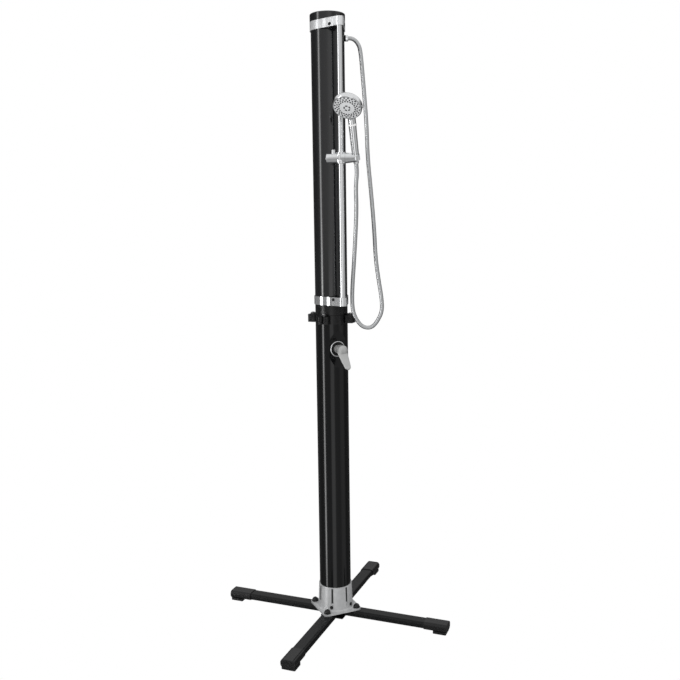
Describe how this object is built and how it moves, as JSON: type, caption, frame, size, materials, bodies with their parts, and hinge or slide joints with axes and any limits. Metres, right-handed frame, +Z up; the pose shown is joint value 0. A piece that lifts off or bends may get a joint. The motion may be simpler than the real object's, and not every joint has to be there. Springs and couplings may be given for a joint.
{
  "type": "outdoor shower post",
  "caption": "Free-standing outdoor shower: dark round column on a crossed base, with a riser rail, sliding hand shower, flexible hose and a lever mixer tap.",
  "frame": {"origin": "centre of the base on the ground, under the column's axis", "axes": "+Z up the column, -Y to the front, where the rail, the hand shower and the lever are, +X to the right seen from the front"},
  "size_m": [0.6538, 0.6538, 2.178],
  "materials": {
    "black_tube": "gloss black",
    "black_plastic": "satin black",
    "black_legs": "satin black powder coat",
    "cast_aluminium": "satin",
    "steel": "plain",
    "black_steel": "black",
    "rubber": "matte",
    "chrome_tube": "polished",
    "chrome_trim": "polished",
    "lever_metal": "satin",
    "brass": "machined",
    "inner_pipe": "plain",
    "hose_metal": "satin",
    "spray_plate": "satin grey"
  },
  "bodies": {
    "post": {"band_screws": "black_steel", "base_collar": "cast_aluminium", "bolt_caps": "black_plastic", "cartridge": "black_plastic", "cartridge_nut": "brass", "cold_pipe": "inner_pipe", "collar_screws": "black_steel", "coupling_gasket": "rubber", "escutcheon_ring": "chrome_trim", "foot_cap_front_left": "black_plastic", "foot_cap_front_right": "black_plastic", "foot_cap_rear_left": "black_plastic", "foot_cap_rear_right": "black_plastic", "hose": "hose_metal", "hot_pipe": "inner_pipe", "hub_plate": "black_steel", "hub_screws": "steel", "inlet_manifold": "brass", "leg_bolts": "steel", "leg_front_left": "black_legs", "leg_front_right": "black_legs", "leg_nuts": "steel", "leg_rear_left": "black_legs", "leg_rear_right": "black_legs", "lower_band": "chrome_tube", "lower_coupling": "black_plastic", "lower_tube": "black_tube", "lug_bolts": "steel", "lug_nuts": "steel", "mixed_pipe": "inner_pipe", "mixer_body": "brass", "mixer_seat": "black_plastic", "outlet_nipple": "brass", "outlet_nut": "chrome_trim", "outlet_washer": "rubber", "rail_blocks": "black_plastic", "riser_rail": "chrome_tube", "tank_feed_pipe": "inner_pipe", "tank_seal": "rubber", "tank_top_plug": "black_plastic", "top_cap": "black_tube", "upper_band": "chrome_tube", "upper_coupling": "black_plastic", "upper_tube": "black_tube"},
    "carriage": {"rail_bush": "black_plastic"},
    "slider": {"slider_body": "chrome_trim", "cradle_screw": "steel", "button_spring": "steel"},
    "button": {"release_button": "chrome_trim"},
    "cradle_arm": {"cradle": "chrome_trim"},
    "handset": {"handset_shell": "chrome_trim", "handset_collar": "chrome_trim", "hose_nut": "chrome_trim", "spray_face": "spray_plate", "spray_nozzles": "rubber"},
    "dial": {"selector_dial": "chrome_trim"},
    "sleeve": {"mixer_sleeve": "chrome_trim", "cartridge_stem": "brass", "lever_pin": "steel"},
    "lever": {"lever_handle": "lever_metal"}
  },
  "joints": [
    {"name": "carriage_slide", "type": "slide", "parent": "post", "child": "carriage", "axis": [0, 0, 1], "range_m": [-0.455, 0.395], "deforming": ["hose"]},
    {"name": "slider_swivel", "type": "hinge", "parent": "carriage", "child": "slider", "pos_m": [0, -0.1015, 1.6885], "axis": [0, 0, 1], "range_deg": [-2, 70]},
    {"name": "button_press", "type": "slide", "parent": "slider", "child": "button", "axis": [0, 0, -1], "range_m": [0, 0.004], "stiffness_N_per_m": 900, "springref_m": -0.001, "deforming": ["button_spring"]},
    {"name": "cradle_tilt", "type": "hinge", "parent": "slider", "child": "cradle_arm", "pos_m": [0, -0.1015, 1.6885], "axis": [0.7431, -0.6691, 0], "range_deg": [-10, 30]},
    {"name": "handset_lift", "type": "slide", "parent": "cradle_arm", "child": "handset", "axis": [-0.2068, -0.2296, 0.9511], "range_m": [0, 0.07]},
    {"name": "spray_select", "type": "hinge", "parent": "handset", "child": "dial", "pos_m": [-0.01957, -0.2017, 1.84395], "axis": [-0.439, -0.4875, -0.7547], "range_deg": [-35, 35]},
    {"name": "mixer_turn", "type": "hinge", "parent": "post", "child": "sleeve", "pos_m": [0, 0, 1.0245], "axis": [0, -1, 0], "range_deg": [-50, 50]},
    {"name": "lever_lift", "type": "hinge", "parent": "sleeve", "child": "lever", "pos_m": [0, -0.072, 1.0245], "axis": [-1, 0, 0], "range_deg": [0, 16]}
  ]
}
